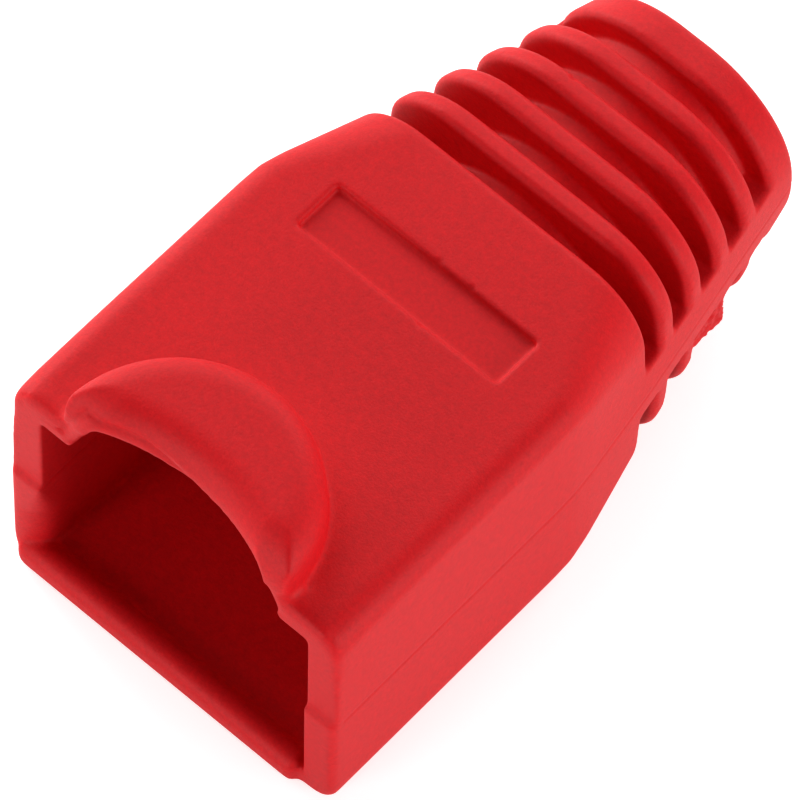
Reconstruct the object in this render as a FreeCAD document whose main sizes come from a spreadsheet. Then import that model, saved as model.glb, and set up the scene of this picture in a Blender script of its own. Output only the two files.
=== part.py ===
import FreeCAD, Part
import math
import os
import Sketcher
from FreeCAD import Vector

# RJ45 strain relief boot, moulded in one piece from soft PVC.
# Frame: X across the boot, +Y from the plug mouth to the cable end, +Z up.
# The origin lies on the underside, in the middle of the plug mouth's plane.
# Lengths are in millimetres and angles in degrees.

os.makedirs("parts", exist_ok=True)

DIMENSIONS = {
    # outer block
    "block_height": 10.9,
    "parting_level": 5.45,
    "mouth_half_width": 7.2,
    "kink_station": 11.7,
    "kink_half_width": 7.11,
    "block_corner": 0.95,
    "block_draft": 0.4,
    "lower_lead": 0.18,
    "block_end": 16.0,
    "block_end_half_width": 6.4,
    "block_end_corner": 2.6,
    "neck_draft": 3.0,
    "kink_blend": 0.9,
    "kink_relief": 0.035,
    "rim_break": 0.2,
    # neck
    "neck_end": 25.4,
    "neck_end_half_width": 4.55,
    "neck_end_half_height": 4.35,
    "neck_end_corner": 4.1,
    "end_round": 0.45,
    # bellows grooves in the neck
    "groove_pitch": 1.75,
    "groove_width": 0.85,
    "groove_clear": 12.0,
    "spine_above": 1.45,
    "spine_below": 1.15,
    "core_radius": 4.32,
    "core_step": 0.1,
    "rib_front_break": 0.24,
    "rib_rear_break": 0.17,
    # plug cavity
    "cavity_half_width": 5.85,
    "cavity_roof": 9.73,
    "cavity_floor": 0.9,
    "cavity_length": 11.4,
    "cable_radius": 3.0,
    "funnel_radius": 4.1,
    "funnel_end": 13.2,
    "bore_edge": 0.3,
    # lip under the mouth
    "lip_height": 1.21,
    "lip_reach": 0.47,
    "lip_depth": 0.62,
    "lip_left": 6.75,
    "lip_right": 5.6,
    "lip_round": 0.5,
    "lip_heel": 0.28,
    "lip_foot": 0.05,
    "lip_end_round": 0.25,
    "lip_corner": 0.65,
    # inner edge of the left wall, rounded away towards the lip
    "roll_radius": 1.05,
    "roll_fade": 0.06,
    "roll_top": 5.3,
    "roll_full": 3.2,
    "roll_reach": 1.2,
    # latch guard
    "guard_radius": 4.88,
    "guard_centre": 0.15,
    "guard_height": 2.35,
    "guard_round": 1.2,
    "guard_lead": 0.55,
    "guard_scoop": 0.9,
    "guard_root": 0.28,
    "horn_round": 0.45,
    "horn_flat": 0.04,
    "horn_slope": 1.8,
    "horn_lift": 0.05,
    "latch_base": 9.3,
    "latch_radius": 4.78,
    "latch_roof": 11.85,
    "latch_taper": 24.3,
    "latch_round": 0.5,
    # label recess in the top
    "label_half_width": 4.37,
    "label_start": 10.64,
    "label_end": 12.67,
    "label_depth": 0.3,
}
GROOVE_COUNT = 5
CLEARANCE = "4"
# The guard's foot is sunk into the block's top, so that the two are one.
GUARD_BASE = "(dims.block_height - dims.guard_root)"


def make_sheet(doc):
    """Write the driving dimensions into the spreadsheet, one alias a row."""
    sheet = doc.addObject("Spreadsheet::Sheet", "dims")
    for row, (alias, value) in enumerate(DIMENSIONS.items(), start=1):
        sheet.set(f"A{row}", alias)
        sheet.set(f"B{row}", str(value))
        sheet.setAlias(f"B{row}", alias)
    doc.recompute()
    return sheet


def origin_plane(body, role):
    return next(f for f in body.Origin.OriginFeatures if f.Role == role)


def new_sketch(body, name, role, offset="0"):
    """A sketch on one of the body's origin planes, moved along its normal."""
    sketch = body.newObject("Sketcher::SketchObject", name)
    sketch.AttachmentSupport = [(origin_plane(body, role), "")]
    sketch.MapMode = "FlatFace"
    sketch.setExpression("AttachmentOffset.Base.z", offset)
    return sketch


def bind(sketch, name, constraint, expression):
    """Add a named dimension and drive it from the sheet."""
    index = sketch.addConstraint(constraint)
    sketch.renameConstraint(index, name)
    sketch.setExpression(f"Constraints.{name}", expression)


def evaluate(body, expression):
    return float(body.evalExpression(expression))


def half_section(body, name, station, sizes, side):
    """Rounded half profile across the boot, above (1) or below (-1) the parting level.

    sizes holds the aliases of the half width, the height, the corner and the draft.
    """
    w, h, r, angle = (evaluate(body, size) for size in sizes)
    width, height, corner, draft = sizes
    level = DIMENSIONS["parting_level"]
    tilt = math.radians(angle)
    rise = h - r
    inset = w - rise * math.tan(tilt) - r / math.cos(tilt)
    foot = inset + r * math.cos(tilt)
    knee = rise + r * math.sin(tilt)

    def at(x, z):
        return Vector(x, level + side * z, 0)

    def corner_arc(x, start, end):
        circle = Part.Circle(at(x, rise), Vector(0, 0, 1), r)
        low, high = sorted((side * start, side * end))
        return Part.ArcOfCircle(circle, low, high)

    sketch = new_sketch(body, name, "XZ_Plane", f"-({station})")
    left = sketch.addGeometry(Part.LineSegment(at(-w, 0), at(-foot, knee)))
    left_arc = sketch.addGeometry(corner_arc(-inset, math.pi / 2, math.pi - tilt))
    top = sketch.addGeometry(Part.LineSegment(at(-inset, h), at(inset, h)))
    right_arc = sketch.addGeometry(corner_arc(inset, tilt, math.pi / 2))
    right = sketch.addGeometry(Part.LineSegment(at(foot, knee), at(w, 0)))
    base = sketch.addGeometry(Part.LineSegment(at(w, 0), at(-w, 0)))
    first, second = (1, 2) if side > 0 else (2, 1)
    sketch.addConstraint([
        Sketcher.Constraint("Tangent", left, 2, left_arc, second),
        Sketcher.Constraint("Tangent", top, 1, left_arc, first),
        Sketcher.Constraint("Tangent", top, 2, right_arc, second),
        Sketcher.Constraint("Tangent", right, 1, right_arc, first),
        Sketcher.Constraint("Coincident", right, 2, base, 1),
        Sketcher.Constraint("Coincident", base, 2, left, 1),
        Sketcher.Constraint("Symmetric", base, 1, base, 2, -2),
        Sketcher.Constraint("Symmetric", top, 1, top, 2, -2),
        Sketcher.Constraint("Equal", left_arc, right_arc),
    ])
    lean = side * (math.pi / 2 - tilt)
    low, high = (base, top) if side > 0 else (top, base)
    bind(sketch, "level", Sketcher.Constraint("DistanceY", -1, 1, base, 1, level),
         "dims.parting_level")
    bind(sketch, "width", Sketcher.Constraint("DistanceX", base, 2, base, 1, 2 * w),
         f"2 * ({width})")
    bind(sketch, "height", Sketcher.Constraint("DistanceY", low, 1, high, 2, h), height)
    bind(sketch, "corner", Sketcher.Constraint("Radius", left_arc, r), corner)
    bind(sketch, "lean", Sketcher.Constraint("Angle", left, lean),
         f"{side} * (90 - {draft}) * 1 deg")
    return sketch


def outline(body, name, role, offset, corners):
    """A closed polygon whose corners are pairs of sheet expressions."""
    sketch = new_sketch(body, name, role, offset)
    spots = [Vector(evaluate(body, x), evaluate(body, y), 0) for x, y in corners]
    count = len(spots)
    for index in range(count):
        sketch.addGeometry(Part.LineSegment(spots[index], spots[(index + 1) % count]))
    for index in range(count):
        following = (index + 1) % count
        sketch.addConstraint(Sketcher.Constraint("Coincident", index, 2, following, 1))
    for index, (x, y) in enumerate(corners):
        spot = spots[index]
        bind(sketch, f"x{index}", Sketcher.Constraint("DistanceX", -1, 1, index, 1, spot.x), x)
        bind(sketch, f"y{index}", Sketcher.Constraint("DistanceY", -1, 1, index, 1, spot.y), y)
    return sketch


def round_corner(sketch, name, line, alias):
    """Round the corner at the end of one of an outline's lines."""
    sketch.fillet(line, 2, DIMENSIONS[alias], True, True)
    arc = max(index for index, curve in enumerate(sketch.Geometry)
              if curve.TypeId == "Part::GeomArcOfCircle")
    bind(sketch, name, Sketcher.Constraint("Radius", arc, DIMENSIONS[alias]), f"dims.{alias}")


def pad(body, name, profile, length):
    feature = body.newObject("PartDesign::Pad", name)
    feature.Profile = profile
    feature.setExpression("Length", length)
    return feature


def pocket(body, name, profile, length, reverse=False):
    """Cut the profile out of the body, and check that the cut took something away."""
    body.Document.recompute()
    before = body.Shape.Volume
    feature = body.newObject("PartDesign::Pocket", name)
    feature.Profile = profile
    feature.Reversed = reverse
    feature.setExpression("Length", length)
    check_cut(body, name, before)
    return feature


def revolve_cut(body, name, profile, axis):
    """Turn the profile about one of its sketch axes, and cut it out of the body."""
    body.Document.recompute()
    before = body.Shape.Volume
    feature = body.newObject("PartDesign::Groove", name)
    feature.Profile = profile
    feature.ReferenceAxis = (profile, [axis])
    feature.Angle = 360
    check_cut(body, name, before)
    return feature


def check_cut(body, name, before):
    body.Document.recompute()
    if body.Shape.Volume > before - 0.01:
        raise RuntimeError(f"{name}: nothing was cut away")


def pick_edges(feature, wanted):
    """Names of the feature's edges that pass the test."""
    return [f"Edge{number}" for number, edge in enumerate(feature.Shape.Edges, start=1)
            if wanted(edge)]


def dress_edges(body, kind, name, feature, wanted):
    """Put a Fillet or a Chamfer on the chosen edges of a feature."""
    body.Document.recompute()
    names = pick_edges(feature, wanted)
    if not names:
        raise RuntimeError(f"{name}: no edge to dress")
    dressing = body.newObject(f"PartDesign::{kind}", name)
    dressing.Base = (feature, names)
    return dressing


def round_edges(body, name, feature, wanted, radius):
    fillet = dress_edges(body, "Fillet", name, feature, wanted)
    fillet.setExpression("Radius", radius)
    body.Document.recompute()
    return fillet


def break_edges(body, name, feature, wanted, size):
    chamfer = dress_edges(body, "Chamfer", name, feature, wanted)
    chamfer.setExpression("Size", size)
    body.Document.recompute()
    return chamfer


def between(first, last, share):
    """Expression for a size part of the way from one dimension to another."""
    return f"dims.{first} + (dims.{last} - dims.{first}) * ({share})"


def add_shell(body):
    """The outer form: a block that tapers into the neck, split at the parting level.

    Three stations close together blend the bend where the flanks turn in.
    """
    before = "(dims.kink_station - dims.kink_blend) / dims.kink_station"
    after = "dims.kink_blend / (dims.block_end - dims.kink_station)"
    plain_corner = "dims.block_corner * 1"
    stations = [
        ("mouth", "-dims.lower_lead", "dims.mouth_half_width * 1", plain_corner, "dims.block_draft"),
        ("bend_start", "dims.kink_station - dims.kink_blend",
         between("mouth_half_width", "kink_half_width", before), plain_corner,
         "dims.block_draft"),
        ("bend", "dims.kink_station", "dims.kink_half_width - dims.kink_relief",
         plain_corner, "dims.block_draft"),
        ("bend_end", "dims.kink_station + dims.kink_blend",
         between("kink_half_width", "block_end_half_width", after),
         between("block_corner", "block_end_corner", after), "dims.block_draft"),
        ("block_end", "dims.block_end", "dims.block_end_half_width * 1",
         "dims.block_end_corner * 1", "dims.neck_draft"),
        ("neck_end", "dims.neck_end", "dims.neck_end_half_width * 1",
         "dims.neck_end_corner * 1", "dims.neck_draft"),
    ]
    halves = [
        ("upper", 1, "dims.block_height - dims.parting_level"),
        ("lower", -1, "dims.parting_level * 1"),
    ]
    for half, side, block_rise in halves:
        sections = []
        for place, station, width, corner, draft in stations:
            rise = "dims.neck_end_half_height * 1" if place == "neck_end" else block_rise
            sizes = (width, rise, corner, draft)
            sections.append(half_section(body, f"{half}_{place}", station, sizes, side))
        loft = body.newObject("PartDesign::AdditiveLoft", f"{half}_shell")
        loft.Profile = sections[0]
        loft.Sections = sections[1:]
        loft.Ruled = True
    return loft


def finish_ends(body, shell):
    """Break the rim of the mouth, and round the ring at the cable end."""
    mouth, end = -DIMENSIONS["lower_lead"], DIMENSIONS["neck_end"]

    def at_mouth(edge):
        return abs(edge.BoundBox.YMax - mouth) < 0.01

    def at_end(edge):
        return abs(edge.BoundBox.YMin - end) < 0.01

    rim = break_edges(body, "mouth_edge", shell, at_mouth, "dims.rim_break")
    return round_edges(body, "end_rounding", rim, at_end, "dims.end_round")


def trim_upper_rim(body):
    """Set the upper half's rim back, which leaves a ledge along the parting level."""
    wide = "dims.mouth_half_width + 1"
    high = "dims.block_height + 1"
    face = outline(body, "upper_rim_face", "XZ_Plane", "0", [
        (f"-({wide})", "dims.parting_level * 1"), (wide, "dims.parting_level * 1"),
        (wide, high), (f"-({wide})", high)])
    return pocket(body, "upper_rim_trim", face, CLEARANCE, reverse=True)


def arc_about_axis(sketch, centre, radius, start):
    """An arc over the sketch's vertical axis, from the angle start to its mirror image."""
    circle = Part.Circle(Vector(0, centre, 0), Vector(0, 0, 1), radius)
    return sketch.addGeometry(Part.ArcOfCircle(circle, start, math.pi - start))


def add_guard(body):
    """The crescent hump over the latch: round behind and hollowed by one arc in front."""
    tip_rise = "(dims.guard_scoop + dims.guard_lead)"
    tip_square = "(dims.guard_radius ^ 2 - (dims.guard_centre + dims.guard_lead) ^ 2)"
    scoop_radius = f"({tip_square} + {tip_rise} ^ 2) / (2 * {tip_rise})"
    back, middle = DIMENSIONS["guard_radius"], DIMENSIONS["guard_centre"]
    lead, top = DIMENSIONS["guard_lead"], DIMENSIONS["guard_scoop"]
    front = evaluate(body, scoop_radius)
    tip = math.sqrt(evaluate(body, tip_square))

    sketch = new_sketch(body, "guard_plan", "XY_Plane", GUARD_BASE)
    rear_arc = arc_about_axis(sketch, middle, back, math.atan2(-lead - middle, tip))
    front_arc = arc_about_axis(sketch, top - front, front,
                               math.atan2(front - top - lead, tip))
    sketch.addConstraint([
        Sketcher.Constraint("Coincident", rear_arc, 1, front_arc, 1),
        Sketcher.Constraint("Coincident", rear_arc, 2, front_arc, 2),
        Sketcher.Constraint("PointOnObject", rear_arc, 3, -2),
        Sketcher.Constraint("PointOnObject", front_arc, 3, -2),
    ])
    bind(sketch, "centre", Sketcher.Constraint("DistanceY", -1, 1, rear_arc, 3, middle),
         "dims.guard_centre")
    bind(sketch, "radius", Sketcher.Constraint("Radius", rear_arc, back), "dims.guard_radius")
    bind(sketch, "scoop", Sketcher.Constraint("Radius", front_arc, front), scoop_radius)
    bind(sketch, "lead", Sketcher.Constraint("DistanceY", rear_arc, 1, -1, 1, lead),
         "dims.guard_lead")
    guard = pad(body, "guard", sketch,
                f"dims.block_height + dims.guard_height - {GUARD_BASE}")

    crest = DIMENSIONS["block_height"] + DIMENSIONS["guard_height"]

    def at_crest(edge):
        return abs(edge.BoundBox.ZMin - crest) < 0.01

    round_edges(body, "guard_rounding", guard, at_crest, "dims.guard_round")
    return trim_horns(body)


def trim_horns(body):
    """Bring the crescent's points back to the rim: rounded above and at their outer sides."""
    over = "dims.block_height + dims.guard_height + dims.horn_lift"
    wide = "(dims.guard_radius + 1)"
    side = outline(body, "horn_side", "YZ_Plane", "0", [
        (f"-{CLEARANCE}", GUARD_BASE),
        ("0", GUARD_BASE),
        ("0", over),
        ("2 * dims.horn_slope", over),
        ("2 * dims.horn_slope", f"{over} + 1"),
        (f"-{CLEARANCE}", f"{over} + 1")])
    round_corner(side, "slope", 1, "horn_slope")
    fronts = pocket(body, "horn_fronts", side, f"2 * {wide}")
    fronts.SideType = "Symmetric"
    flank = "dims.guard_radius - dims.horn_flat"
    behind = "3 * dims.horn_round"
    plan = outline(body, "horn_plan", "XY_Plane", GUARD_BASE, [
        (f"-{wide}", f"-{CLEARANCE}"), (wide, f"-{CLEARANCE}"), (wide, behind),
        (flank, behind), (flank, "0"),
        (f"-({flank})", "0"), (f"-({flank})", behind),
        (f"-{wide}", behind)])
    round_corner(plan, "right", 3, "horn_round")
    round_corner(plan, "left", 5, "horn_round")
    return pocket(body, "horn_sides", plan, CLEARANCE, reverse=True)


def add_cavity(body):
    """The chamber that holds the plug."""
    profile = outline(body, "cavity_side", "YZ_Plane", "0", [
        (f"-{CLEARANCE}", "dims.cavity_floor * 1"),
        ("dims.cavity_length * 1", "dims.cavity_floor * 1"),
        ("dims.cavity_length * 1", "dims.cavity_roof * 1"),
        (f"-{CLEARANCE}", "dims.cavity_roof * 1")])
    cavity = pocket(body, "cavity", profile, "2 * dims.cavity_half_width")
    cavity.SideType = "Symmetric"
    return cavity


def add_wall_roll(body):
    """Round off the left wall's inner edge, more and more towards the lip."""
    wall, rim, reach = "-dims.cavity_half_width", "-dims.lower_lead", "dims.roll_reach"
    sections = []
    for place, height, radius in (("top", "roll_top", "roll_fade"),
                                  ("full", "roll_full", "roll_radius"),
                                  ("foot", "cavity_floor", "roll_radius")):
        section = outline(body, f"roll_{place}", "XY_Plane", f"dims.{height} * 1", [
            (f"{wall} - {reach}", f"{rim} - {reach}"), (f"{wall} + {reach}", f"{rim} - {reach}"),
            (f"{wall} + {reach}", f"{rim} + {reach}"), (wall, f"{rim} + {reach}"),
            (wall, rim), (f"{wall} - {reach}", rim)])
        round_corner(section, "edge", 3, radius)
        sections.append(section)
    body.Document.recompute()
    before = body.Shape.Volume
    roll = body.newObject("PartDesign::SubtractiveLoft", "wall_roll")
    roll.Profile = sections[0]
    roll.Sections = sections[1:]
    roll.Ruled = True
    check_cut(body, "wall_roll", before)
    return roll


def add_latch_hollow(body):
    """The domed space under the guard where the plug's latch moves, turned as a cone."""
    slope = "tan(dims.latch_taper * 1 deg)"
    rise = "(dims.latch_roof - dims.latch_base)"
    roof_radius = f"dims.latch_radius - {rise} * {slope}"
    corners = [("0", "dims.latch_base * 1"), ("dims.latch_radius * 1", "dims.latch_base * 1"),
               (roof_radius, "dims.latch_roof * 1"), ("0", "dims.latch_roof * 1")]
    profile = outline(body, "latch_profile", "YZ_Plane", "0", corners)
    profile.setExpression("AttachmentOffset.Base.x", "dims.guard_centre")
    round_corner(profile, "round", 1, "latch_round")
    return revolve_cut(body, "latch_hollow", profile, "V_Axis")


def groove_profile(body, name, station, core, side):
    """All that lies outside the round core, above (1) or below (-1) the smooth spine."""
    spine = "dims.spine_above * 1" if side > 0 else "dims.spine_below * 1"
    rise, clear = evaluate(body, spine), DIMENSIONS["groove_clear"]
    level, radius = DIMENSIONS["parting_level"], evaluate(body, core)
    reach = math.sqrt(radius ** 2 - rise ** 2)
    start = math.atan2(rise, reach)

    def at(x, z):
        return Vector(x, level + side * z, 0)

    sketch = new_sketch(body, name, "XZ_Plane", f"-({station})")
    circle = Part.Circle(at(0, 0), Vector(0, 0, 1), radius)
    low, high = sorted((side * start, side * (math.pi - start)))
    core_arc = sketch.addGeometry(Part.ArcOfCircle(circle, low, high))
    corners = [at(reach, rise), at(clear, rise), at(clear, clear), at(-clear, clear),
               at(-clear, rise), at(-reach, rise)]
    lines = [sketch.addGeometry(Part.LineSegment(a, b)) for a, b in zip(corners, corners[1:])]
    right, left = (1, 2) if side > 0 else (2, 1)
    for line, following in zip(lines, lines[1:]):
        sketch.addConstraint(Sketcher.Constraint("Coincident", line, 2, following, 1))
    sketch.addConstraint([
        Sketcher.Constraint("Coincident", lines[0], 1, core_arc, right),
        Sketcher.Constraint("Coincident", lines[-1], 2, core_arc, left),
        Sketcher.Constraint("PointOnObject", core_arc, 3, -2),
        Sketcher.Constraint("Horizontal", lines[0]),
        Sketcher.Constraint("Horizontal", lines[2]),
        Sketcher.Constraint("Horizontal", lines[4]),
        Sketcher.Constraint("Vertical", lines[1]),
        Sketcher.Constraint("Vertical", lines[3]),
        Sketcher.Constraint("Symmetric", lines[1], 1, lines[3], 2, -2),
    ])
    lower, upper = ((core_arc, 3), (lines[0], 1)) if side > 0 else ((lines[0], 1), (core_arc, 3))
    bind(sketch, "level", Sketcher.Constraint("DistanceY", -1, 1, core_arc, 3, level),
         "dims.parting_level")
    bind(sketch, "core", Sketcher.Constraint("Radius", core_arc, radius), core)
    bind(sketch, "spine", Sketcher.Constraint("DistanceY", *lower, *upper, rise), spine)
    bind(sketch, "reach", Sketcher.Constraint("DistanceX", -1, 1, lines[1], 1, clear),
         "dims.groove_clear")
    upright = (lines[1], 1, lines[1], 2) if side > 0 else (lines[1], 2, lines[1], 1)
    bind(sketch, "rise", Sketcher.Constraint("DistanceY", *upright, clear - rise),
         f"dims.groove_clear - {spine}")
    return sketch


def add_grooves(body):
    """The bellows: grooves cut down to a round core, above and below the smooth spines."""
    for index in range(GROOVE_COUNT):
        core = f"dims.core_radius - {index} * dims.core_step"
        above = f"dims.block_end + {index} * dims.groove_pitch"
        below = f"{above} - dims.lower_lead"
        for half, station, side in (("upper", above, 1), ("lower", below, -1)):
            name = f"{half}_groove_{index + 1}"
            profile = groove_profile(body, f"{name}_profile", station, core, side)
            groove = pocket(body, name, profile, "dims.groove_width")
    return groove


def add_bore(body):
    """The round passage for the cable, with a funnel behind the plug."""
    corners = [
        ("dims.cavity_length - dims.bore_edge", "0"),
        (f"dims.neck_end + {CLEARANCE}", "0"),
        (f"dims.neck_end + {CLEARANCE}", "dims.cable_radius * 1"),
        ("dims.funnel_end * 1", "dims.cable_radius * 1"),
        ("dims.cavity_length * 1", "dims.funnel_radius * 1"),
        ("dims.cavity_length - dims.bore_edge", "dims.funnel_radius * 1")]
    profile = outline(body, "bore_profile", "YZ_Plane", "0", corners)
    profile.setExpression("AttachmentOffset.Base.y", "dims.parting_level")
    bore = revolve_cut(body, "bore", profile, "H_Axis")
    end = DIMENSIONS["neck_end"]
    size = 2 * DIMENSIONS["cable_radius"]

    def at_exit(edge):
        box = edge.BoundBox
        return abs(box.YMin - end) < 0.01 and abs(box.XLength - size) < 0.01

    return break_edges(body, "bore_edge", bore, at_exit, "dims.bore_edge")


def add_label_recess(body):
    """The shallow flat panel in the top, left bare."""
    plan = outline(body, "label_plan", "XY_Plane", "dims.block_height - dims.label_depth", [
        ("-dims.label_half_width", "dims.label_start * 1"),
        ("dims.label_half_width * 1", "dims.label_start * 1"),
        ("dims.label_half_width * 1", "dims.label_end * 1"),
        ("-dims.label_half_width", "dims.label_end * 1")])
    return pocket(body, "label_recess", plan, CLEARANCE, reverse=True)


def add_lip(body):
    """The lip under the mouth: a bead with a round back, which stands forward of the rim."""
    side = outline(body, "lip_side", "YZ_Plane", "-dims.lip_left", [
        ("-dims.lip_reach", "0"),
        ("dims.lip_foot * 1", "0"),
        ("dims.lip_foot * 1", "dims.lip_heel * 2"),
        ("dims.lip_depth * 1", "dims.lip_heel * 2"),
        ("dims.lip_depth * 1", "dims.lip_height * 1"),
        ("-dims.lip_reach", "dims.lip_height * 1")])
    round_corner(side, "back", 3, "lip_round")
    round_corner(side, "nose", 4, "lip_round")
    round_corner(side, "heel", 5, "lip_heel")
    pad(body, "lip", side, "dims.lip_left + dims.lip_right")

    left, right, rim, nose = "-dims.lip_left", "dims.lip_right * 1", "-dims.lower_lead", "-dims.lip_reach"
    plan = outline(body, "lip_ends_plan", "XY_Plane", "0", [
        (left, rim), (f"{left} - 1", rim), (f"{left} - 1", f"{nose} - 1"),
        (f"{right} + 1", f"{nose} - 1"), (f"{right} + 1", rim), (right, rim),
        (right, nose), (left, nose)])
    round_corner(plan, "right", 5, "lip_end_round")
    round_corner(plan, "left", 6, "lip_end_round")
    pocket(body, "lip_ends", plan, "dims.lip_height + 1", reverse=True)

    inner, top = f"{left} + 2", "dims.lip_height * 1"
    face = outline(body, "lip_corner_face", "XZ_Plane", "dims.lower_lead * 1", [
        (f"{left} - 1", f"{top} + 1"), (f"{left} - 1", "-1"), (inner, "-1"), (inner, "0"),
        (left, "0"), (left, top), (inner, top), (inner, f"{top} + 1")])
    round_corner(face, "under", 3, "lip_corner")
    round_corner(face, "over", 4, "lip_round")
    return pocket(body, "lip_corner", face, "dims.lip_reach", reverse=True)


def break_ribs(body, grooves):
    """Break the edges of the ribs, a little more on the side towards the mouth."""
    pitch, width = DIMENSIONS["groove_pitch"], DIMENSIONS["groove_width"]
    first, level = DIMENSIONS["block_end"], DIMENSIONS["parting_level"]

    def on_rim(edge, shift):
        box = edge.BoundBox
        if box.YLength > 0.01:
            return False
        lead = 0 if box.ZMax > level else DIMENSIONS["lower_lead"]
        place = (box.YMin + lead - first - shift) / pitch
        near = abs(place - round(place)) < 0.001 and -0.5 < place < GROOVE_COUNT - 0.5
        middle = edge.valueAt(sum(edge.ParameterRange) / 2)
        reach = math.hypot(middle.x, middle.z - level)
        core = DIMENSIONS["core_radius"] + 0.05
        return near and reach > core and not (box.ZLength < 0.01 and box.XMax * box.XMin > 0)

    fronts = break_edges(body, "rib_front_edges", grooves,
                         lambda edge: on_rim(edge, width), "dims.rib_front_break")
    return break_edges(body, "rib_rear_edges", fronts,
                       lambda edge: on_rim(edge, 0), "dims.rib_rear_break")


def check_document(doc):
    """Stop before anything is written if a feature failed."""
    for item in doc.Objects:
        if "Invalid" in item.State or "Error" in item.State:
            raise RuntimeError(f"{item.Name} failed: {item.State}")


def build_boot(doc):
    body = doc.addObject("PartDesign::Body", "boot")
    body.Label = "boot"
    doc.recompute()
    shell = add_shell(body)
    finish_ends(body, shell)
    trim_upper_rim(body)
    add_guard(body)
    grooves = add_grooves(body)
    break_ribs(body, grooves)
    add_cavity(body)
    add_wall_roll(body)
    add_latch_hollow(body)
    add_bore(body)
    add_label_recess(body)
    add_lip(body)
    return body


def main():
    doc = FreeCAD.newDocument("rj45_boot")
    make_sheet(doc)
    boot = build_boot(doc)
    doc.recompute()
    check_document(doc)
    shape = boot.Shape
    if shape.isNull() or not shape.isValid() or len(shape.Solids) != 1:
        raise RuntimeError("boot: not one valid solid")
    shape.exportStep("parts/boot.step")


main()
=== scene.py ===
"""Dress the RJ45 strain relief boot: soft moulded edges, grained PVC, studio stage."""

import math

import bmesh
import bpy
from bpy.props import FloatProperty, FloatVectorProperty, IntProperty, PointerProperty
from mathutils import Matrix, Vector, noise


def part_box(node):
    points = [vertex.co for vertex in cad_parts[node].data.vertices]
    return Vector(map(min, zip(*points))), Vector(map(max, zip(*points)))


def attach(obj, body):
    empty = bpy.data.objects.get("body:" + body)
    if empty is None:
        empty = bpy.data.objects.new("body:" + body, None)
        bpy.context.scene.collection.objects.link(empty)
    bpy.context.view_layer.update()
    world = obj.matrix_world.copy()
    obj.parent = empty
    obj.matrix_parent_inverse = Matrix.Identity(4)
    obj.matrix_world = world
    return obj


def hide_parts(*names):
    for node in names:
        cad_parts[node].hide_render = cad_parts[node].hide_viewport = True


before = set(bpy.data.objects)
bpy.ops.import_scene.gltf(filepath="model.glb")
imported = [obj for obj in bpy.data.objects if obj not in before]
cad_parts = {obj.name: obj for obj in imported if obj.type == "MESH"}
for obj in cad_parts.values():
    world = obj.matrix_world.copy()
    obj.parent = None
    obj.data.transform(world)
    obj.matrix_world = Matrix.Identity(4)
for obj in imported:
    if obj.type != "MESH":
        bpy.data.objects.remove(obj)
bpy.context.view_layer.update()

bl_info = {
    "name": "Strain relief boot",
    "version": (1, 0, 0),
    "blender": (4, 5, 0),
    "location": "View3D > Sidebar > Boot",
    "description": "Finishes a moulded strain relief boot and sets it on a studio stage",
    "category": "Object",
}

MM = 0.001
LOW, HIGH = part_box("boot")
CENTRE = (LOW + HIGH) / 2


# Main places in millimetres. X runs across, Y from the mouth to the cable end and Z upwards,
# with the origin on the underside in the middle of the mouth.

FLANK = HIGH.x / MM
LIP_FRONT = LOW.y / MM
CABLE_END = HIGH.y / MM
GUARD_TOP = HIGH.z / MM
GUARD_RISE = 2.35
BLOCK_TOP = GUARD_TOP - GUARD_RISE
BLOCK_REAR = 15.7


def mirrored(block):
    """The same block on the other side of the boot."""
    low, high = block
    return (-high[0], *low[1:]), (-low[0], *high[1:])


# Blocks that fill the body before it gets its skin: a low and a high corner in millimetres.

HORN_STEP = ((4.4, 0.0, BLOCK_TOP - 0.6), (5.95, 1.42, BLOCK_TOP))
GATE_STUB = ((4.0, 19.2, 2.7), (5.4, 21.05, 4.35))
FILLERS = (HORN_STEP, mirrored(HORN_STEP), GATE_STUB)

# Blocks that choose a zone of the skin, and how many times each zone is relaxed. CORNER is
# the right one and stands for both. It grows by each spread in turn, so it leaves no step.

BROW = ((-FLANK - 0.4, LIP_FRONT - 0.03, BLOCK_TOP - 0.9), (FLANK + 0.4, 1.0, BLOCK_TOP + 0.4))
CORNER = ((6.5, LIP_FRONT - 0.13, BLOCK_TOP - 1.7), (FLANK + 0.4, 1.8, BLOCK_TOP + 0.4))
NECK = ((-7.0, BLOCK_REAR, -0.5), (7.0, CABLE_END + 0.6, BLOCK_TOP + 0.6))
LABEL = ((-4.8, 10.2, BLOCK_TOP - 0.6), (4.8, 13.1, BLOCK_TOP + 0.3))
LABEL_FLOOR = ((-4.3, 10.7, BLOCK_TOP - 0.4), (4.3, 12.6, BLOCK_TOP - 0.2))
CORNER_SPREADS = (0.0, 0.4, 0.8, 1.2, 1.6)
BROW_PASSES = 60
CORNER_PASSES = 5
NECK_PASSES = 6
LABEL_PASSES = 3

# The triangles that the finished skin keeps, and how near two points are one, in metres.

TRIANGLES = 190000
WELD = 0.001 * MM

# The hollow under the guard: a cone about an upright axis behind the mouth, with a flat roof.

ARCH_AXIS = 0.15
ARCH_FOOT = 9.3
ARCH_RADIUS = 4.78
ARCH_ROOF = 11.85
ARCH_TAPER = math.radians(24.3)

# The bead along the arch's edge has its full width on the left, thins over BEAD_FADE and ends
# at BEAD_END. The crease follows its upper side, inside the block CREASE.

BEAD_WIDTH = 0.6
BEAD_END = 0.4
BEAD_FADE = 2.4
CREASE_WIDTH = 0.14
CREASE_DEPTH = 0.1
CREASE = ((-FLANK, LIP_FRONT - 0.1, BLOCK_TOP - 0.6), (BEAD_END, 1.9, GUARD_TOP + 0.1))

# The line where the halves of the mould meet. It shows beyond PARTING_REACH from the middle
# and behind PARTING_START.

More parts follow.
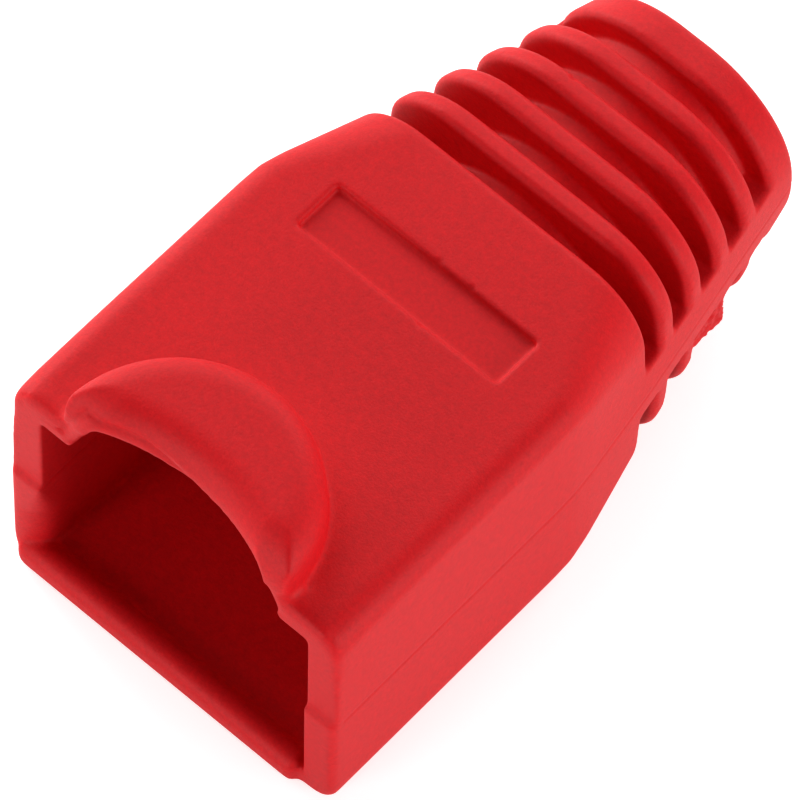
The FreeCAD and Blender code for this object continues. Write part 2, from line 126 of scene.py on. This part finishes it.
PARTING_LEVEL = 5.45
PARTING_REACH = 4.4
PARTING_START = 0.3
PARTING_WIDTH = 0.08
PARTING_DEPTH = 0.03

# Small bites: place, radius and depth in millimetres.

RIB_NICKS = (
    ((-1.66, 21.2, 10.3), 0.26, 0.09),
    ((2.75, 19.5, 10.45), 0.24, 0.08),
    ((4.9, 19.35, 10.2), 0.24, 0.08),
)
LABEL_NICKS = (
    ((-0.02, 12.68, BLOCK_TOP), 0.24, 0.06),
    ((1.44, 12.68, BLOCK_TOP), 0.22, 0.06),
    ((1.11, 10.62, BLOCK_TOP), 0.26, 0.06),
)
BROW_NICK = ((-3.9, 0.3, BLOCK_TOP - 0.2), 0.3, 0.08)
SPINE_PINHOLE = ((5.62, 18.1, 5.0), 0.15, 0.16)
BITES = (*RIB_NICKS, *LABEL_NICKS, BROW_NICK, SPINE_PINHOLE)

# The torn gate: where it is rough, then the waves per millimetre and depth of its two noises.

TORN_GATE = ((4.4, 19.0, 2.4), (6.0, 21.2, 4.4))
TEARS = ((2.2, 0.12), (6.0, 0.09))

# How many times smoother the floor of the label recess is than the rest.

POLISH = 3

# The noise values between which the dark pigment turns to the light one.

MOTTLE_RANGE = (0.3, 0.7)

# Stage, in metres. Lamps: name, azimuth and elevation in degrees, width in metres and watts.

SENSOR_WIDTH = 36
CLIP_RANGE = (0.01, 20)
CAMERA_TARGET = CENTRE + Vector((0.388, -1.966, -1.559)) * MM
FLOOR_REACH = 1.5
PAPER = "#e6e6e6"
PAPER_GLOW = 0.7
WHITE = (1, 1, 1, 1)
LAMP_DISTANCE = 0.35
LAMPS = (
    ("front_softbox", -12, 10, 0.12, 0.6),
    ("left_softbox", -90, 11, 0.2, 0.9),
    ("rear_left_softbox", -116, 36, 0.2, 0.57),
    ("rear_softbox", -170, 30, 0.2, 0.55),
    ("right_softbox", 97, 11, 0.2, 0.98),
)


def linear(hex_colour):
    """Turn an sRGB hex string into a linear RGBA colour."""
    channels = [int(hex_colour[i:i + 2], 16) / 255 for i in (1, 3, 5)]
    curve = [c / 12.92 if c <= 0.04045 else ((c + 0.055) / 1.055) ** 2.4 for c in channels]
    return (*curve, 1.0)


class BootSettings(bpy.types.PropertyGroup):
    """Sizes and colours of the boot's finish."""

    fineness: FloatProperty(
        name="Fineness", description="Size of the smallest feature of the moulded skin",
        default=0.078 * MM, unit="LENGTH", precision=5)
    softness: IntProperty(
        name="Softness", description="How far the moulded edges are rounded",
        default=10, min=0)
    grain: FloatProperty(
        name="Grain", description="Width of one grain of the spark-eroded texture",
        default=0.08 * MM, unit="LENGTH", precision=5)
    grain_depth: FloatProperty(
        name="Grain depth", description="Height of the grain above its hollows",
        default=0.015 * MM, unit="LENGTH", precision=6)
    blotch: FloatProperty(
        name="Blotch", description="Width of the pigment's uneven spots",
        default=0.2 * MM, unit="LENGTH", precision=5)
    colour: FloatVectorProperty(
        name="Colour", description="Pigment of the PVC", subtype="COLOR", size=4,
        min=0, max=1, default=linear("#e30712"))
    dark_colour: FloatVectorProperty(
        name="Dark colour", description="Pigment where it is densest", subtype="COLOR", size=4,
        min=0, max=1, default=linear("#cc0410"))
    shine: FloatProperty(
        name="Shine", description="Strength of the surface's reflections",
        default=0.24, min=0, max=1, subtype="FACTOR")
    roughness: FloatProperty(
        name="Roughness", description="Spread of the surface's reflections",
        default=0.6, min=0, max=1, subtype="FACTOR")


class StageSettings(bpy.types.PropertyGroup):
    """Camera and even light around the boot."""

    lens: FloatProperty(
        name="Lens", description="Focal length of the camera",
        default=540.0, min=1, unit="CAMERA")
    distance: FloatProperty(
        name="Distance", description="From the camera to the boot",
        default=393.6 * MM, unit="LENGTH")
    azimuth: FloatProperty(
        name="Azimuth", description="Turn of the camera about the boot",
        default=math.radians(41.22), subtype="ANGLE")
    elevation: FloatProperty(
        name="Elevation", description="Height angle of the camera",
        default=math.radians(60.99), subtype="ANGLE")
    roll: FloatProperty(
        name="Roll", description="Turn of the camera about its own axis",
        default=math.radians(1.26), subtype="ANGLE")
    ambient: FloatProperty(
        name="Ambient", description="Strength of the even light from all round",
        default=0.09, min=0)


def new_material(name):
    """An empty node material, its tree and its output's surface socket."""
    material = bpy.data.materials.new(name)
    material.use_nodes = True
    tree = material.node_tree
    tree.nodes.clear()
    output = tree.nodes.new("ShaderNodeOutputMaterial")
    return material, tree, output.inputs["Surface"]


def add_node(tree, kind, settings=None, inputs=None, links=None):
    """Add one node with its settings, its input values and its incoming links.

    Inputs are named, or numbered where a node has several of one name.
    """
    node = tree.nodes.new(kind)
    for name, value in (settings or {}).items():
        setattr(node, name, value)
    for name, value in (inputs or {}).items():
        node.inputs[name].default_value = value
    for name, source in (links or {}).items():
        tree.links.new(source, node.inputs[name])
    return node


def grained_pvc(name, settings, grain_depth):
    """Plasticised PVC moulded against a spark-eroded cavity.

    The eye sees a matt, slightly waxy red with a fine grain. The pigment is a little uneven,
    which shows as a faint mottling.
    """
    material, tree, surface = new_material(name)
    place = add_node(tree, "ShaderNodeTexCoord").outputs["Object"]
    grain = add_node(tree, "ShaderNodeTexNoise", {"noise_dimensions": "3D"},
                     {"Scale": 1 / settings.grain, "Detail": 3.0, "Roughness": 0.65},
                     {"Vector": place})
    bump = add_node(tree, "ShaderNodeBump", None,
                    {"Strength": 1.0, "Distance": grain_depth},
                    {"Height": grain.outputs["Fac"]})
    blotch = add_node(tree, "ShaderNodeTexNoise", {"noise_dimensions": "3D"},
                      {"Scale": 1 / settings.blotch, "Detail": 3.0, "Roughness": 0.85},
                      {"Vector": place})
    pigment = add_node(tree, "ShaderNodeValToRGB", None, None, {"Fac": blotch.outputs["Fac"]})
    dark, light = pigment.color_ramp.elements
    dark.position, light.position = MOTTLE_RANGE
    dark.color, light.color = settings.dark_colour, settings.colour
    shader = add_node(tree, "ShaderNodeBsdfPrincipled", None,
                      {"Roughness": settings.roughness, "IOR": 1.53,
                       "Specular IOR Level": settings.shine},
                      {"Base Color": pigment.outputs["Color"], "Normal": bump.outputs["Normal"]})
    tree.links.new(shader.outputs["BSDF"], surface)
    return material


def white_paper():
    """Matt uncoated paper: plain white to the camera, and darker where the boot shades it."""
    material, tree, surface = new_material("white_paper")
    paper = add_node(tree, "ShaderNodeBsdfDiffuse", None, {"Color": linear(PAPER)})
    glow = add_node(tree, "ShaderNodeEmission", None, {"Color": WHITE, "Strength": PAPER_GLOW})
    lit = add_node(tree, "ShaderNodeAddShader", None, None,
                   {0: paper.outputs[0], 1: glow.outputs[0]})
    ray = add_node(tree, "ShaderNodeLightPath").outputs
    clamped_sum = {"operation": "ADD", "use_clamp": True}
    bounced = add_node(tree, "ShaderNodeMath", clamped_sum, None,
                            {0: ray["Is Glossy Ray"], 1: ray["Is Transmission Ray"]})
    seen = add_node(tree, "ShaderNodeMath", clamped_sum, None,
                    {0: ray["Is Camera Ray"], 1: bounced.outputs[0]})
    choice = add_node(tree, "ShaderNodeMixShader", None, None,
                      {0: seen.outputs[0], 1: paper.outputs[0], 2: lit.outputs[0]})
    tree.links.new(choice.outputs[0], surface)
    return material


def add_block(bm, low, high):
    """A closed block between two corners, which the remesh melts into the body."""
    size = Vector(high) - Vector(low)
    place = Matrix.Translation((Vector(low) + size / 2) * MM)
    scale = Matrix.Diagonal((*(size * MM), 1))
    bmesh.ops.create_cube(bm, size=1, matrix=place @ scale)


def in_block(point, low, high):
    """Whether a point in millimetres lies between two corners."""
    return all(a < c < b for a, c, b in zip(low, point, high))


def apply_modifiers(piece):
    """Turn what the piece's modifiers show into its own mesh."""
    graph = bpy.context.evaluated_depsgraph_get()
    graph.update()
    mesh = bpy.data.meshes.new_from_object(piece.evaluated_get(graph))
    piece.modifiers.clear()
    piece.data = mesh


def relax(bm, verts, passes):
    """Round what is sharp by moving each point towards the middle of its neighbours."""
    for _ in range(passes):
        bmesh.ops.smooth_vert(bm, verts=verts, factor=0.5,
                              use_axis_x=True, use_axis_y=True, use_axis_z=True)


def corner_verts(bm, spread):
    """The points at the brow's two outer corners, in blocks grown down and back by spread."""
    low, high = Vector(CORNER[0]), Vector(CORNER[1])
    low.z -= spread
    high.y += spread
    verts = []
    for vert in bm.verts:
        x, y, z = vert.co / MM
        if in_block((abs(x), y, z), low, high):
            verts.append(vert)
    return verts


def soft_skin(bm, softness):
    """Round the moulded edges: most on the brow, least on the neck and the label recess."""
    body, brow, neck, label = [], [], [], []
    for vert in bm.verts:
        point = vert.co / MM
        if in_block(point, *LABEL):
            label.append(vert)
        elif in_block(point, *NECK):
            neck.append(vert)
        else:
            body.append(vert)
            if in_block(point, *BROW):
                brow.append(vert)
    relax(bm, body, softness)
    relax(bm, brow, BROW_PASSES)
    relax(bm, neck, NECK_PASSES)
    relax(bm, label, LABEL_PASSES)
    for spread in CORNER_SPREADS:
        relax(bm, corner_verts(bm, spread), CORNER_PASSES)


def bell(offset):
    """1 at an offset of 0, falling smoothly to nothing on both sides."""
    return math.exp(-offset * offset)


def arch_distance(point):
    """How far a point stands above the arch's inner edge."""
    reach = math.hypot(point.x, point.y - ARCH_AXIS) - ARCH_RADIUS
    side = reach * math.cos(ARCH_TAPER) + (point.z - ARCH_FOOT) * math.sin(ARCH_TAPER)
    return max(side, point.z - ARCH_ROOF)


def crease_depth(point):
    """The crease between the guard and the bead, which dies out past the arch's middle."""
    if not in_block(point, *CREASE):
        return 0.0
    share = min(1.0, (BEAD_END - point.x) / BEAD_FADE)
    offset = (arch_distance(point) - share * BEAD_WIDTH) / CREASE_WIDTH
    return CREASE_DEPTH * math.sqrt(share) * bell(offset)


def parting_depth(point):
    """The faint line of the mould's two halves, on every wall that far from the middle.

    That takes in the flanks and spines outside, and the chamber's side and rear walls.
    """
    if abs(point.x) < PARTING_REACH or point.y < PARTING_START:
        return 0.0
    return PARTING_DEPTH * bell((point.z - PARTING_LEVEL) / PARTING_WIDTH)


def bite_depth(point):
    """The nicks left by handling and trimming, and the pinhole in the spine."""
    depth = 0.0
    for place, radius, bite in BITES:
        share = (point - Vector(place)).length / radius
        if share < 1:
            depth = max(depth, bite * (1 - share * share) ** 2)
    return depth


def torn_depth(point):
    """The rough face where the gate was torn off the third lower rib."""
    if not in_block(point, *TORN_GATE):
        return 0.0
    return sum(depth * abs(noise.noise(point * waves)) for waves, depth in TEARS)


def mark_skin(bm):
    """Press the bead's crease, the parting line, the bites and the torn gate into the skin."""
    bm.normal_update()
    marks = (crease_depth, parting_depth, bite_depth, torn_depth)
    for vert in bm.verts:
        point = vert.co / MM
        depth = sum(mark(point) for mark in marks)
        vert.co -= vert.normal * depth * MM


def filled_body():
    """The CAD body's mesh with its triangles joined and the filler blocks in it."""
    bm = bmesh.new()
    bm.from_mesh(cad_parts["boot"].data)
    bmesh.ops.remove_doubles(bm, verts=bm.verts, dist=WELD)
    for low, high in FILLERS:
        add_block(bm, low, high)
    mesh = bpy.data.meshes.new("moulded_boot")
    bm.to_mesh(mesh)
    bm.free()
    return mesh


def finish_skin(mesh, softness):
    """Round the even voxel skin, then mark it."""
    bm = bmesh.new()
    bm.from_mesh(mesh)
    soft_skin(bm, softness)
    mark_skin(bm)
    bm.to_mesh(mesh)
    bm.free()


class BOOT_OT_mould_body(bpy.types.Operator):
    """Mould the boot's soft-edged body and give it its grained PVC"""

    bl_idname = "boot.mould_body"
    bl_label = "Mould the boot"

    def execute(self, context):
        finish = context.scene.boot_finish
        body = bpy.data.objects.new("moulded_boot", filled_body())
        context.scene.collection.objects.link(body)
        remesh = body.modifiers.new("Remesh", "REMESH")
        remesh.mode = "VOXEL"
        remesh.voxel_size = finish.fineness
        apply_modifiers(body)
        finish_skin(body.data, finish.softness)
        # The voxel skin is all quads, of two triangles each.
        thin = body.modifiers.new("Decimate", "DECIMATE")
        thin.ratio = TRIANGLES / (2 * len(body.data.polygons))
        apply_modifiers(body)
        body.data.materials.append(grained_pvc("grained_pvc", finish, finish.grain_depth))
        body.data.materials.append(grained_pvc("smooth_pvc", finish, finish.grain_depth / POLISH))
        for face in body.data.polygons:
            face.use_smooth = True
            face.material_index = int(in_block(face.center / MM, *LABEL_FLOOR))
        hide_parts("boot")
        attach(body, "root")
        return {"FINISHED"}


def aim(eye, target, roll):
    """Matrix of a camera or lamp at eye that looks at target, turned by roll on its axis."""
    back = (eye - target).normalized()
    right = Vector((0, 0, 1)).cross(back).normalized()
    up = back.cross(right)
    turned = right * math.cos(roll) + up * math.sin(roll)
    lifted = up * math.cos(roll) - right * math.sin(roll)
    turn = Matrix((turned, lifted, back)).transposed().to_4x4()
    return Matrix.Translation(eye) @ turn


def from_angles(azimuth, elevation, distance):
    """Offset at an azimuth (0 in front of the mouth) and an elevation."""
    flat = math.cos(elevation) * distance
    return Vector((math.sin(azimuth) * flat, -math.cos(azimuth) * flat,
                   math.sin(elevation) * distance))


def add_floor(scene):
    """A wide sheet of white paper under the boot."""
    bm = bmesh.new()
    bmesh.ops.create_grid(bm, x_segments=1, y_segments=1, size=FLOOR_REACH,
                          matrix=Matrix.Translation((CENTRE.x, CENTRE.y, LOW.z)))
    mesh = bpy.data.meshes.new("floor")
    bm.to_mesh(mesh)
    bm.free()
    mesh.materials.append(white_paper())
    floor = bpy.data.objects.new("floor", mesh)
    scene.collection.objects.link(floor)


def add_lamp(scene, name, azimuth, elevation, width, watts):
    """A square softbox a forearm's length from the boot."""
    data = bpy.data.lights.new(name, "AREA")
    data.size = width
    data.energy = watts
    lamp = bpy.data.objects.new(name, data)
    scene.collection.objects.link(lamp)
    eye = CENTRE + from_angles(math.radians(azimuth), math.radians(elevation), LAMP_DISTANCE)
    lamp.matrix_world = aim(eye, CENTRE, 0)


def add_world(scene, ambient):
    """Even white light from all round."""
    world = bpy.data.worlds.new("studio")
    world.use_nodes = True
    background = world.node_tree.nodes["Background"].inputs
    background["Color"].default_value = WHITE
    background["Strength"].default_value = ambient
    scene.world = world


def add_camera(scene, stage):
    """Long lens from above, in front and to the right."""
    data = bpy.data.cameras.new("camera")
    data.lens = stage.lens
    data.sensor_width = SENSOR_WIDTH
    data.clip_start, data.clip_end = CLIP_RANGE
    camera = bpy.data.objects.new("camera", data)
    scene.collection.objects.link(camera)
    eye = CAMERA_TARGET + from_angles(stage.azimuth, stage.elevation, stage.distance)
    camera.matrix_world = aim(eye, CAMERA_TARGET, stage.roll)
    scene.camera = camera


class BOOT_OT_set_stage(bpy.types.Operator):
    """Put the boot on white paper under softboxes, with the camera"""

    bl_idname = "boot.set_stage"
    bl_label = "Set the stage"

    def execute(self, context):
        scene = context.scene
        scene.view_settings.view_transform = "Standard"
        add_floor(scene)
        for lamp in LAMPS:
            add_lamp(scene, *lamp)
        add_world(scene, scene.boot_stage.ambient)
        add_camera(scene, scene.boot_stage)
        return {"FINISHED"}


STEPS = (BOOT_OT_mould_body, BOOT_OT_set_stage)


class BOOT_PT_tools(bpy.types.Panel):
    """Lists the steps that dress the boot"""

    bl_idname = "BOOT_PT_tools"
    bl_label = "Strain relief boot"
    bl_space_type = "VIEW_3D"
    bl_region_type = "UI"
    bl_category = "Boot"

    def draw(self, context):
        layout = self.layout
        for group in (context.scene.boot_finish, context.scene.boot_stage):
            for name in group.__annotations__:
                layout.prop(group, name)
        for step in STEPS:
            layout.operator(step.bl_idname)


CLASSES = (BootSettings, StageSettings, *STEPS, BOOT_PT_tools)


def register():
    """Add the settings, the steps and the panel to Blender."""
    for cls in CLASSES:
        bpy.utils.register_class(cls)
    bpy.types.Scene.boot_finish = PointerProperty(type=BootSettings)
    bpy.types.Scene.boot_stage = PointerProperty(type=StageSettings)


def unregister():
    """Take them out again."""
    del bpy.types.Scene.boot_stage
    del bpy.types.Scene.boot_finish
    for cls in reversed(CLASSES):
        bpy.utils.unregister_class(cls)


def main():
    """Run the steps in order."""
    register()
    bpy.ops.boot.mould_body()
    bpy.ops.boot.set_stage()


if __name__ == "__main__":
    main()
